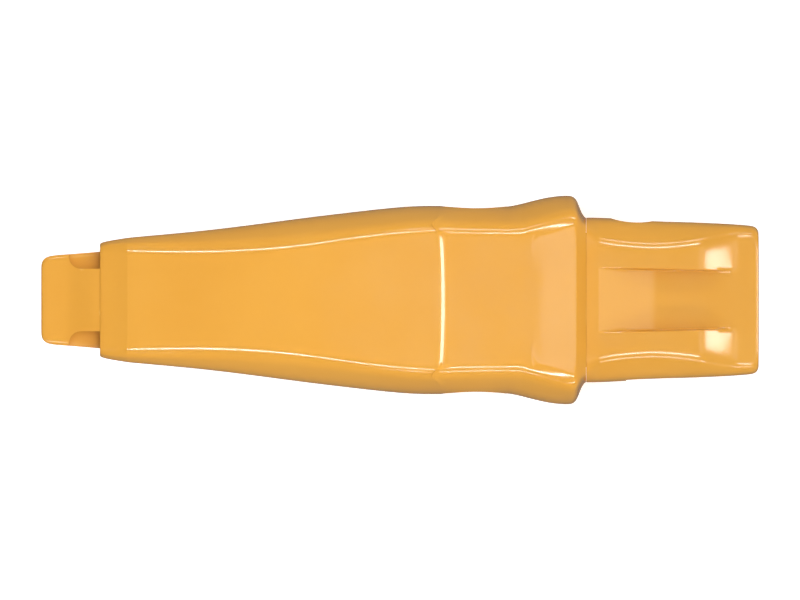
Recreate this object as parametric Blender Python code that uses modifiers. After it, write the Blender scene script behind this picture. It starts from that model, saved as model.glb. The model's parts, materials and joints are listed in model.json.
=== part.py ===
"""Bucket tooth for a 20-25 t excavator: a cast tooth point sleeved over the nose of a weld-on
two-strap adapter, and held by a half-turn lock in each side wall.

Metres, +Z up. The origin is the centre of the flat root of the adapter's lip slot. The digging tip
points along -X and the bucket lip comes in from +X. Both castings are the same above and below Z = 0
and the same left (+Y) and right (-Y).
"""

import math

import bmesh
import bpy

MM = 0.001

# Driving dimensions, in millimetres.
LIP_SLOT_HALF_HEIGHT = 20.5  # takes a 40 mm lip plate with 1 mm to spare
GAP = 0.3  # between pieces that touch
SOCKET_FRONT_CLEARANCE = 1.5  # the socket bears on its tapers, never on the nose's tip
RIM_X = -21.5  # rear face of the tooth point
LOCK_X = -82.0  # the locks' axis, along Y
LOCK_RADIUS = 14.0
LOCK_BOSS_RADIUS = 12.0
LOCK_SKIRT_Y = 32.2  # where the lock starts, just outside the nose
LOCK_FLANGE_Y = 41.9
LOCK_TOP_Y = 43.4
CUP_RADIUS = 7.2  # inside of the lock's cup, 1.2 mm round the post
CUP_CEILING_Y = 37.4
DRIVE_SQUARE = 12.7  # half-inch square drive
DRIVE_DEPTH = 4.5
POST_RADIUS = 6.0
POST_ROOT_Y = 24.0  # inside the nose
POST_TOP_Y = 37.0
POST_EDGE = 0.8  # chamfer round the end of the post
CHANNEL_HALF_HEIGHT = 7.2
CHANNEL_Y = 37.7
SEAT_ROOT_Y = 20.0  # inside the socket, so that the seat opens into it
SEAT_STEP_Y = 37.2  # where the lock's bore opens out to hold the bush
SEAT_RADIUS = 17.3
RING_GROOVE_RADIUS = 18.8
RING_GROOVE_Y = (41.9, 43.8)
BUSH_Y = (37.5, 41.6)
BUSH_EDGE = 0.5  # chamfer round the outside of the bush
RING_OUTER_RADIUS = 18.5
RING_INNER_RADIUS = 12.5
RING_Y = (42.25, 43.45)
RING_OPEN_ANGLE = 50.0  # degrees, the gap in the snap ring
RING_STEPS = 28  # straight pieces round the snap ring
PLUG_Y = (43.9, 47.0)
PLUG_RADIUS = 17.0
PLUG_EDGE = 0.6  # chamfer round the back of the plug
PLUG_RIM = (13.8, 15.8)  # radii between which the plug's rim rises
PLUG_RIM_RISE = 0.3
PLUG_DISH_DEPTH = 1.6
PLUG_DISH = (5.2, 12.5)  # radii between which the plug's face is dished
PLUG_BUTTON_RADIUS = 3.5
PLUG_BUTTON_EDGE = 0.7
VALLEY_HALF_WIDTH = 16.6
ROUND_STEPS = 32

# Side wall of a section: how far up it each ring of points lies. The wall bows in as it rises.
WALL_STEPS = (0.4, 0.7, 0.9, 1.0)

# Sections along X: (x, half width at the parting plane, half width of the top face, half height).
POINT_BODY = (
    (-279.0, 30.8, 27.5, 12.5),
    (-267.0, 32.9, 27.5, 18.0),
    (-253.0, 34.2, 26.0, 20.9),
    (-227.0, 36.6, 26.5, 26.4),
    (-202.0, 39.9, 27.8, 31.6),
    (-174.0, 43.9, 30.3, 37.5),
    (-147.0, 46.8, 34.3, 41.9),
    (-121.0, 49.5, 36.8, 45.4),
    (-110.0, 50.0, 38.2, 46.9),
    (-99.5, 50.0, 38.2, 48.3),
    (-95.0, 49.9, 36.0, 48.3),
    (-80.0, 49.2, 35.3, 48.3),
    (-67.0, 49.0, 35.3, 48.4),
    (-60.5, 50.3, 36.2, 48.5),
    (-54.0, 51.9, 37.5, 48.9),
    (-41.0, 55.1, 41.0, 50.2),
    (-34.8, 55.9, 43.0, 50.9),
    (-28.4, 55.4, 44.0, 51.2),
    (-25.1, 52.2, 43.0, 49.7),
    (-23.6, 47.2, 40.2, 47.6),
    (RIM_X, 44.4, 37.5, 45.2),
)
BIT_PLATE = (
    (-313.0, 17.0, 16.5, 3.4),
    (-311.4, 20.7, 20.0, 4.6),
    (-308.5, 22.9, 22.2, 5.1),
    (-302.0, 23.8, 23.0, 6.3),
    (-296.5, 24.3, 23.4, 6.7),
    (-282.0, 25.9, 25.0, 7.0),
    (-272.0, 26.6, 25.6, 7.2),
)
BIT_RIB = (
    (-301.0, 16.6, 16.0, 4.8),
    (-297.0, 17.0, 16.3, 7.0),
    (-288.0, 17.6, 16.6, 9.8),
    (-280.0, 18.2, 16.6, 12.4),
    (-270.0, 18.2, 16.6, 13.0),
)
NOSE = (
    (-168.0, 21.5, 18.5, 14.0),
    (-150.0, 23.3, 20.0, 14.4),
    (-21.0, 36.5, 31.5, 36.0),
    (-12.0, 36.9, 32.0, 36.5),
)
LEG = (
    (RIM_X + GAP, 44.2, 34.5, 44.9),
    (-17.0, 44.0, 32.5, 44.1),
    (-15.0, 43.8, 31.0, 44.0),
    (-2.7, 42.5, 29.5, 44.0),
    (7.0, 41.7, 29.0, 44.0),
    (16.6, 42.3, 29.5, 44.0),
    (39.0, 41.2, 31.0, 44.0),
    (44.0, 41.0, 31.3, 43.2),
    (50.0, 40.7, 32.2, 40.9),
    (56.0, 40.3, 33.0, 38.6),
    (61.0, 39.8, 33.8, 38.0),
    (66.5, 39.3, 34.2, 38.0),
    (69.5, 37.5, 33.0, 37.3),
    (70.9, 34.6, 31.0, 35.5),
)
LEG_UPRIGHT = 22.0  # the leg's side walls stand straight up to here
CLEAR_X = 80.0  # beyond the end of the leg
CLEAR_Y = 60.0  # beyond every side wall
CLEAR_Z = 60.0  # above and below both castings
VALLEY_HEAD_X = -15.0
VALLEY_FLOOR = ((VALLEY_HEAD_X, 44.2), (-8.0, 42.6), (4.0, 40.0), (16.0, 38.0), (CLEAR_X, 38.0))


def clear_scene():
    for old in list(bpy.data.objects):
        bpy.data.objects.remove(old, do_unlink=True)


def new_collection(name):
    collection = bpy.data.collections.new(name)
    bpy.context.scene.collection.children.link(collection)
    return collection


def principled(name, colour, roughness, metallic):
    material = bpy.data.materials.new(name)
    material.use_nodes = True
    shader = material.node_tree.nodes["Principled BSDF"]
    shader.inputs["Base Color"].default_value = (*colour, 1.0)
    shader.inputs["Roughness"].default_value = roughness
    shader.inputs["Metallic"].default_value = metallic
    return material


def add_object(name, data, collection):
    obj = bpy.data.objects.new(name, data)
    collection.objects.link(obj)
    return obj


def hide_cutter(obj):
    obj.hide_render = True
    obj.display_type = "WIRE"
    return obj


def section_ring(half_width, top_half_width, half_height, upright):
    """Points (y, z) once round a section that is the same in all four quarters."""
    quarter = [(half_width, 0.0)]
    if upright:
        quarter.append((half_width, upright))
    for step in WALL_STEPS:
        y = half_width - (half_width - top_half_width) * step**2
        quarter.append((y, upright + (half_height - upright) * step))
    above = quarter + [(-y, z) for y, z in reversed(quarter)]
    below = [(-y, -z) for y, z in reversed(above[1:-1])]
    return above + [(-y, z) for y, z in below]


def loft(name, sections, collection, upright=0.0, grow=0.0):
    """A closed solid through unlike sections. grow makes it larger all round, for a socket."""
    mesh_builder = bmesh.new()
    rings = []
    for x, half_width, top_half_width, half_height in sections:
        ring = section_ring(half_width + grow, top_half_width + grow, half_height + grow, upright)
        rings.append([mesh_builder.verts.new((x * MM, y * MM, z * MM)) for y, z in ring])
    count = len(rings[0])
    for front, back in zip(rings, rings[1:]):
        for i in range(count):
            j = (i + 1) % count
            mesh_builder.faces.new((front[i], front[j], back[j], back[i]))
    mesh_builder.faces.new(rings[0])
    mesh_builder.faces.new(rings[-1])
    bmesh.ops.recalc_face_normals(mesh_builder, faces=mesh_builder.faces)
    mesh = bpy.data.meshes.new(name)
    mesh_builder.to_mesh(mesh)
    mesh_builder.free()
    return add_object(name, mesh, collection)


def box(name, low, high, collection):
    """A box between two corners given in millimetres."""
    mesh_builder = bmesh.new()
    bmesh.ops.create_cube(mesh_builder, size=1.0)
    size = [(b - a) * MM for a, b in zip(low, high)]
    centre = [(a + b) / 2 * MM for a, b in zip(low, high)]
    bmesh.ops.scale(mesh_builder, vec=size, verts=mesh_builder.verts)
    bmesh.ops.translate(mesh_builder, vec=centre, verts=mesh_builder.verts)
    mesh = bpy.data.meshes.new(name)
    mesh_builder.to_mesh(mesh)
    mesh_builder.free()
    return add_object(name, mesh, collection)


def turned(name, profile, collection):
    """A shape turned about its own Z axis from (radius, height) points that run top to bottom."""
    mesh = bpy.data.meshes.new(name)
    points = [(radius * MM, 0.0, height * MM) for radius, height in profile]
    closed_profile = all(radius > 0 for radius, _ in profile)
    edges = [(i, i + 1) for i in range(len(points) - 1)]
    if closed_profile:
        edges.append((len(points) - 1, 0))
    mesh.from_pydata(points, edges, [])
    obj = add_object(name, mesh, collection)
    screw = obj.modifiers.new("turn", "SCREW")
    screw.axis = "Z"
    screw.angle = math.tau
    screw.steps = ROUND_STEPS
    screw.render_steps = ROUND_STEPS
    screw.use_merge_vertices = True
    screw.merge_threshold = 0.00001
    screw.use_smooth_shade = True
    return obj


def outline_solid(name, points, half_thickness, collection):
    """A flat outline in the XY plane, thickened both ways along Z, as a mesh."""
    curve = bpy.data.curves.new(name, "CURVE")
    curve.dimensions = "2D"
    curve.fill_mode = "BOTH"
    curve.extrude = half_thickness * MM
    spline = curve.splines.new("POLY")
    spline.points.add(len(points) - 1)
    for target, (x, y) in zip(spline.points, points):
        target.co = (x * MM, y * MM, 0.0, 1.0)
    spline.use_cyclic_u = True
    guide = add_object(name + "_outline", curve, collection)
    bpy.context.view_layer.update()
    evaluated = guide.evaluated_get(bpy.context.evaluated_depsgraph_get())
    mesh = bpy.data.meshes.new_from_object(evaluated)
    mesh_builder = bmesh.new()
    mesh_builder.from_mesh(mesh)
    bmesh.ops.remove_doubles(mesh_builder, verts=mesh_builder.verts, dist=0.000001)
    bmesh.ops.recalc_face_normals(mesh_builder, faces=mesh_builder.faces)
    mesh_builder.to_mesh(mesh)
    mesh_builder.free()
    obj = add_object(name, mesh, collection)
    obj.matrix_world = guide.matrix_world
    bpy.data.objects.remove(guide, do_unlink=True)
    return obj


def combine(target, operand, operation):
    """A live Boolean on target."""
    boolean = target.modifiers.new(operation.lower() + "_" + operand.name, "BOOLEAN")
    boolean.operation = operation
    boolean.solver = "EXACT"
    boolean.object = operand
    hide_cutter(operand)


def stand_on_side(obj, side, out=0.0):
    """Puts a piece on the locks' axis, its own +Z pointing out of the side wall. side is 1 left, -1 right."""
    obj.rotation_euler = (-side * math.pi / 2, 0.0, 0.0)
    obj.location = (LOCK_X * MM, side * out * MM, 0.0)


def finish(obj, material, parent=None):
    obj.data.materials.clear()
    obj.data.materials.append(material)
    if parent is not None:
        obj.parent = parent


def make_tooth_point(parts, cutters, sides):
    """The wear casting: chisel bit, body and collar, hollowed for the nose and the locks."""
    point = loft("tooth_point", POINT_BODY, parts)
    combine(point, loft("bit_plate", BIT_PLATE, cutters), "UNION")
    combine(point, loft("bit_rib", BIT_RIB, cutters), "UNION")
    socket_sections = [(NOSE[0][0] - SOCKET_FRONT_CLEARANCE, *NOSE[0][1:]), *NOSE[1:]]
    combine(point, loft("socket_space", socket_sections, cutters, grow=GAP), "DIFFERENCE")
    channel = box(
        "post_channel",
        (LOCK_X, -CHANNEL_Y, -CHANNEL_HALF_HEIGHT),
        (NOSE[-1][0], CHANNEL_Y, CHANNEL_HALF_HEIGHT),
        cutters,
    )
    combine(point, channel, "DIFFERENCE")
    seat_profile = (
        (0.0, CLEAR_Y),
        (SEAT_RADIUS, CLEAR_Y),
        (SEAT_RADIUS, RING_GROOVE_Y[1]),
        (RING_GROOVE_RADIUS, RING_GROOVE_Y[1]),
        (RING_GROOVE_RADIUS, RING_GROOVE_Y[0]),
        (SEAT_RADIUS, RING_GROOVE_Y[0]),
        (SEAT_RADIUS, SEAT_STEP_Y),
        (LOCK_RADIUS + GAP, SEAT_STEP_Y),
        (LOCK_RADIUS + GAP, SEAT_ROOT_Y),
        (0.0, SEAT_ROOT_Y),
    )
    for side_name, side in sides:
        seat = turned("lock_seat_" + side_name, seat_profile, cutters)
        stand_on_side(seat, side)
        combine(point, seat, "DIFFERENCE")
    return point


def make_adapter(parts, cutters, sides):
    """The weld-on casting: nose with a post on each side, and a leg of two straps round the lip."""
    adapter = loft("adapter", LEG, parts, upright=LEG_UPRIGHT)
    combine(adapter, loft("nose", NOSE, cutters), "UNION")
    post_profile = (
        (0.0, POST_TOP_Y),
        (POST_RADIUS - POST_EDGE, POST_TOP_Y),
        (POST_RADIUS, POST_TOP_Y - POST_EDGE),
        (POST_RADIUS, POST_ROOT_Y),
        (0.0, POST_ROOT_Y),
    )
    for side_name, side in sides:
        post = turned("post_" + side_name, post_profile, cutters)
        stand_on_side(post, side)
        combine(adapter, post, "UNION")
    slot = box(
        "lip_slot",
        (0.0, -CLEAR_Y, -LIP_SLOT_HALF_HEIGHT),
        (CLEAR_X, CLEAR_Y, LIP_SLOT_HALF_HEIGHT),
        cutters,
    )
    combine(adapter, slot, "DIFFERENCE")
    above_leg = ((CLEAR_X, CLEAR_Z), (VALLEY_HEAD_X, CLEAR_Z))
    for strap_name, turn in (("upper", 1), ("lower", -1)):
        valley = outline_solid(
            "valley_" + strap_name, VALLEY_FLOOR + above_leg, VALLEY_HALF_WIDTH, cutters
        )
        valley.rotation_euler = (turn * math.pi / 2, 0.0, 0.0)
        combine(adapter, valley, "DIFFERENCE")
    return adapter


def make_lock(side_name, parts, cutters):
    """A half-turn lock: a cup that hooks behind the post, a flange, and a square drive in its boss."""
    lock = turned(
        "lock_" + side_name,
        (
            (0.0, LOCK_TOP_Y - LOCK_SKIRT_Y),
            (LOCK_BOSS_RADIUS, LOCK_TOP_Y - LOCK_SKIRT_Y),
            (LOCK_BOSS_RADIUS, LOCK_FLANGE_Y - LOCK_SKIRT_Y),
            (LOCK_RADIUS, LOCK_FLANGE_Y - LOCK_SKIRT_Y),
            (LOCK_RADIUS, 0.0),
            (0.0, 0.0),
        ),
        parts,
    )
    cup_depth = CUP_CEILING_Y - LOCK_SKIRT_Y
    beyond = LOCK_RADIUS  # how far each cutter runs past the lock
    cup = turned(
        "cup_" + side_name,
        ((0.0, cup_depth), (CUP_RADIUS, cup_depth), (CUP_RADIUS, -beyond), (0.0, -beyond)),
        cutters,
    )
    mouth = box(
        "mouth_" + side_name,
        (-LOCK_RADIUS - beyond, -CUP_RADIUS, -beyond),
        (0.0, CUP_RADIUS, cup_depth),
        cutters,
    )
    half_drive = DRIVE_SQUARE / 2
    drive_floor = LOCK_TOP_Y - LOCK_SKIRT_Y - DRIVE_DEPTH
    drive = box(
        "drive_" + side_name,
        (-half_drive, -half_drive, drive_floor),
        (half_drive, half_drive, drive_floor + beyond),
        cutters,
    )
    for cutter in (cup, mouth, drive):
        combine(lock, cutter, "DIFFERENCE")
        cutter.parent = lock
    return lock


def make_bush(side_name, parts):
    """The elastomer ring that grips the lock and keeps it from turning by itself."""
    inner, outer = LOCK_RADIUS + GAP, SEAT_RADIUS - GAP
    height = BUSH_Y[1] - BUSH_Y[0]
    profile = (
        (inner, height),
        (outer - BUSH_EDGE, height),
        (outer, height - BUSH_EDGE),
        (outer, BUSH_EDGE),
        (outer - BUSH_EDGE, 0.0),
        (inner, 0.0),
    )
    return turned("detent_bush_" + side_name, profile, parts)


def make_snap_ring(side_name, parts):
    """The open spring-steel ring in its groove, which keeps the lock and the bush in."""
    half_open = math.radians(RING_OPEN_ANGLE / 2)
    turn = math.tau - 2 * half_open
    angles = [half_open + turn * i / RING_STEPS for i in range(RING_STEPS + 1)]
    outer = [(RING_OUTER_RADIUS * math.cos(a), RING_OUTER_RADIUS * math.sin(a)) for a in angles]
    inner = [(RING_INNER_RADIUS * math.cos(a), RING_INNER_RADIUS * math.sin(a)) for a in angles]
    half_thickness = (RING_Y[1] - RING_Y[0]) / 2
    return outline_solid("snap_ring_" + side_name, outer + inner[::-1], half_thickness, parts)


def make_dust_plug(side_name, parts):
    """The rubber plug that keeps dirt out of the lock, with a dished face and a pull button."""
    height = PLUG_Y[1] - PLUG_Y[0]
    face = height - PLUG_RIM_RISE
    dish = height - PLUG_DISH_DEPTH
    profile = (
        (0.0, face),
        (PLUG_BUTTON_RADIUS, face),
        (PLUG_BUTTON_RADIUS + PLUG_BUTTON_EDGE, face - PLUG_BUTTON_EDGE),
        (PLUG_DISH[0], dish),
        (PLUG_DISH[1], dish),
        (PLUG_RIM[0], face),
        (PLUG_RIM[1], height),
        (PLUG_RADIUS, height - PLUG_EDGE),
        (PLUG_RADIUS, PLUG_EDGE),
        (PLUG_RADIUS - PLUG_EDGE, 0.0),
        (0.0, 0.0),
    )
    return turned("dust_plug_" + side_name, profile, parts)


def main():
    clear_scene()
    parts = new_collection("excavator_bucket_tooth")
    cutters = new_collection("cutters")
    sides = (("left", 1), ("right", -1))
    paint = (0.90, 0.43, 0.07)

    adapter = make_adapter(parts, cutters, sides)
    finish(adapter, principled("adapter_paint", paint, 0.3, 0.0))
    point = make_tooth_point(parts, cutters, sides)
    finish(point, principled("point_paint", paint, 0.3, 0.0))

    for side_name, side in sides:
        lock = make_lock(side_name, parts, cutters)
        stand_on_side(lock, side, LOCK_SKIRT_Y)
        finish(lock, principled("lock_steel_" + side_name, (0.30, 0.29, 0.28), 0.35, 1.0), point)
        bush = make_bush(side_name, parts)
        stand_on_side(bush, side, BUSH_Y[0])
        finish(bush, principled("bush_rubber_" + side_name, (0.03, 0.03, 0.03), 0.7, 0.0), point)
        ring = make_snap_ring(side_name, parts)
        stand_on_side(ring, side, sum(RING_Y) / 2)
        finish(ring, principled("ring_steel_" + side_name, (0.12, 0.12, 0.13), 0.3, 1.0), point)
        plug = make_dust_plug(side_name, parts)
        stand_on_side(plug, side, PLUG_Y[0])
        finish(plug, principled("plug_rubber_" + side_name, (0.02, 0.02, 0.02), 0.6, 0.0), point)


main()
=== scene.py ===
# %% [markdown]
# # Excavator bucket tooth
#
# A bucket tooth is two steel castings. The tooth point does the digging and wears away. The adapter is
# welded round the bucket's lip, and its nose fills the socket of the point. A half-turn lock in each side
# wall holds the two together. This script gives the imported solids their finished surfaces: the two
# castings are modelled again with soft cast edges, and the small parts at the size of their plain solids.

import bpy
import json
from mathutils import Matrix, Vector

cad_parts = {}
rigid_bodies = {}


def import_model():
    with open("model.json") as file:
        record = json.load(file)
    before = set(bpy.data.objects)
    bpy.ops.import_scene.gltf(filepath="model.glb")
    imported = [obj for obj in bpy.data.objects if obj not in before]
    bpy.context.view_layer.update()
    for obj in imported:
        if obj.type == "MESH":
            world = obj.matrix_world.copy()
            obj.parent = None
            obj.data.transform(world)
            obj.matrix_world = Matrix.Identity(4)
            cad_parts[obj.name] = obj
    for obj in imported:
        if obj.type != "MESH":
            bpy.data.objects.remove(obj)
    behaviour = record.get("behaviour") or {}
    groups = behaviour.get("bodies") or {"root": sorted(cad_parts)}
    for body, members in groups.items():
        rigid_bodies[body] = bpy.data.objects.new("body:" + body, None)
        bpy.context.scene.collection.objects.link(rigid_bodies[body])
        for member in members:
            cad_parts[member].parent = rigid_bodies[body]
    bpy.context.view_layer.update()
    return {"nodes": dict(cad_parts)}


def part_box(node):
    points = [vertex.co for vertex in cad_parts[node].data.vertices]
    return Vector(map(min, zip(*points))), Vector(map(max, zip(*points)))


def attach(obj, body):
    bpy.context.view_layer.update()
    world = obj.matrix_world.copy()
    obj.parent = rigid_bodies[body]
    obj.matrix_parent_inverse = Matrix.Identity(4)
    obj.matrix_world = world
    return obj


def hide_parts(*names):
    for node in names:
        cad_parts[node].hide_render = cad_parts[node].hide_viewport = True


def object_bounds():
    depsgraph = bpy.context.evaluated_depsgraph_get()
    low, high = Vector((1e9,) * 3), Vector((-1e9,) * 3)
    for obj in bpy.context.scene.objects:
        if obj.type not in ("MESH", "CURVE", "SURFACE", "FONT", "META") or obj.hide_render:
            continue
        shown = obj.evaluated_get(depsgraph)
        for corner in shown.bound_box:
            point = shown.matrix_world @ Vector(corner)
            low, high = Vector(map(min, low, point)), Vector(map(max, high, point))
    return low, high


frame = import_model()
print("solids:", sorted(frame["nodes"]))

# %% [markdown]
# ## Tools for modelling in edit mode
#
# Each helper below does one thing that a person does by hand: deselect everything, make one piece active,
# name a new piece, or pick points by their place. All lengths in the tables are in millimetres, the unit
# on a casting drawing, and are turned into metres where a point is placed.

# %% Helpers that select
import json
import math

import bmesh
import bpy

MM = 0.001
NEAR = 0.02 * MM  # two places closer than this are the same place
WELD = 0.01 * MM  # points closer than this become one


def deselect_everything():
    if bpy.context.object and bpy.context.object.mode != "OBJECT":
        bpy.ops.object.mode_set(mode="OBJECT")
    bpy.ops.object.select_all(action="DESELECT")


def make_active(piece):
    deselect_everything()
    piece.select_set(True)
    bpy.context.view_layer.objects.active = piece


def name_new_piece(name):
    """Names the primitive just added, puts its place into its mesh, and returns it."""
    piece = bpy.context.object
    piece.name = name
    piece.data.name = name
    bpy.ops.object.transform_apply(location=True, rotation=True, scale=True)
    return piece


def pick_points(wanted):
    """In edit mode, selects exactly the points whose place passes the test."""
    bpy.ops.mesh.select_mode(type="VERT")
    bpy.ops.mesh.select_all(action="DESELECT")
    cage = bmesh.from_edit_mesh(bpy.context.object.data)
    for point in cage.verts:
        point.select_set(wanted(point.co))
    cage.select_flush(True)
    bmesh.update_edit_mesh(bpy.context.object.data)


print("smallest distance that counts:", NEAR / MM, "mm")

# %% [markdown]
# A second set of helpers finishes a shape. Subdivision rounds a cage, a Boolean joins a solid or cuts with
# it, and a bevel softens what is left sharp. Each is a modifier that is applied at once, so that the next
# step works on the real faces.

# %% Helpers that finish a shape


def apply_modifier(piece, kind, **settings):
    make_active(piece)
    modifier = piece.modifiers.new(kind.lower(), kind)
    for name, value in settings.items():
        setattr(modifier, name, value)
    bpy.ops.object.modifier_apply(modifier=modifier.name)


def smooth_and_apply(piece, levels):
    """Rounds a cage into a cast surface."""
    apply_modifier(piece, "SUBSURF", levels=levels, render_levels=levels)


def join_solids(piece, tool, operation):
    """Joins a second solid to the piece, or cuts the piece with it, and throws the tool away."""
    apply_modifier(piece, "BOOLEAN", operation=operation, solver="MANIFOLD", object=tool)
    bpy.data.objects.remove(tool, do_unlink=True)


def round_edges(piece, width, segments=2, angle=30):
    """A bevel on every edge sharper than the angle."""
    apply_modifier(
        piece, "BEVEL", width=width, segments=segments, limit_method="ANGLE",
        angle_limit=math.radians(angle), use_clamp_overlap=True,
    )


def clean_up(piece):
    """Merges points that lie together and turns every face outwards."""
    make_active(piece)
    bpy.ops.object.mode_set(mode="EDIT")
    bpy.ops.mesh.select_all(action="SELECT")
    bpy.ops.mesh.remove_doubles(threshold=WELD)
    bpy.ops.mesh.normals_make_consistent(inside=False)
    bpy.ops.object.mode_set(mode="OBJECT")


def add_block(name, low, high):
    """A box between two corners, as a tool for cutting."""
    deselect_everything()
    centre = [(a + b) / 2 for a, b in zip(low, high)]
    bpy.ops.mesh.primitive_cube_add(size=1.0, location=centre)
    bpy.context.object.scale = [b - a for a, b in zip(low, high)]
    return name_new_piece(name)


# %% [markdown]
# ## Pulling a casting out of a ring of points
#
# A casting like this one is easiest to think of as a row of cross-sections. We start from a circle of
# points at one end, move its points on to the first cross-section, then extrude the end face to the next
# station and stretch it to fit, again and again. The section is the same in all four quarters, so a list
# of points from the parting line to the centre line describes it. Each kind of point is moved with one
# resize about the centre of the section, which moves its mirrored points too.

# %% Pulling a casting
START_RADIUS = 10.0 * MM  # of the circle that becomes the first section


def stretch_ring(x, before, after):
    """Moves each kind of point of the ring at x from its place before to its place after."""
    for (y0, z0), (y1, z1) in zip(before, after):
        pick_points(
            lambda p: abs(p.x - x) < NEAR and abs(abs(p.y) - y0) < NEAR and abs(abs(p.z) - z0) < NEAR
        )
        across = y1 / y0 if y0 > NEAR else 1.0
        up = z1 / z0 if z0 > NEAR else 1.0
        bpy.ops.transform.resize(value=(1.0, across, up), center_override=(x, 0.0, 0.0))


def pull_casting(name, stations):
    """Makes a closed cage through (x, section) stations. A section is one quarter's (y, z) points."""
    deselect_everything()
    x, section = stations[0]
    kinds = len(section)
    bpy.ops.mesh.primitive_circle_add(
        vertices=4 * (kinds - 1), radius=START_RADIUS, fill_type="NGON",
        location=(x, 0.0, 0.0), rotation=(0.0, math.pi / 2, 0.0),
    )
    piece = name_new_piece(name)
    step = math.pi / 2 / (kinds - 1)
    circle = [
        (START_RADIUS * math.cos(step * i), START_RADIUS * math.sin(step * i)) for i in range(kinds)
    ]
    circle[-1] = (0.0, START_RADIUS)
    bpy.ops.object.mode_set(mode="EDIT")
    stretch_ring(x, circle, section)
    for next_x, next_section in stations[1:]:
        pick_points(lambda p: abs(p.x - x) < NEAR)
        bpy.ops.mesh.extrude_region_move(TRANSFORM_OT_translate={"value": (next_x - x, 0.0, 0.0)})
        stretch_ring(next_x, section, next_section)
        x, section = next_x, next_section
    bpy.ops.mesh.select_all(action="SELECT")
    bpy.ops.mesh.normals_make_consistent(inside=False)
    bpy.ops.object.mode_set(mode="OBJECT")
    print(name, "cage:", len(piece.data.vertices), "points,", len(piece.data.polygons), "faces")
    return piece


def crease_edges(piece, wanted, sharpness):
    """Holds the edges whose two ends pass the test against the smoothing."""
    make_active(piece)
    bpy.ops.object.mode_set(mode="EDIT")
    bpy.ops.mesh.select_mode(type="EDGE")
    bpy.ops.mesh.select_all(action="DESELECT")
    cage = bmesh.from_edit_mesh(piece.data)
    for edge in cage.edges:
        edge.select_set(wanted(edge.verts[0].co, edge.verts[1].co))
    print(piece.name, "creased edges:", sum(edge.select for edge in cage.edges))
    bmesh.update_edit_mesh(piece.data)
    bpy.ops.transform.edge_crease(value=sharpness)
    bpy.ops.object.mode_set(mode="OBJECT")


# %% [markdown]
# ## The body of the tooth point
#
# The body grows from the front wall behind the bit, over a steep front chamfer and two long slopes, to a
# ridge, a level neck and the flared collar that guards the joint. Stations lie close together where the
# casting turns sharply, as at the chamfer's edge and the ridge, and far apart where it runs straight. A
# quarter of a section has seven points: one on the parting line, two up the side wall, one on the
# shoulder, one on the edge of the top face, one just inside that edge, and one on the centre line.

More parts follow.
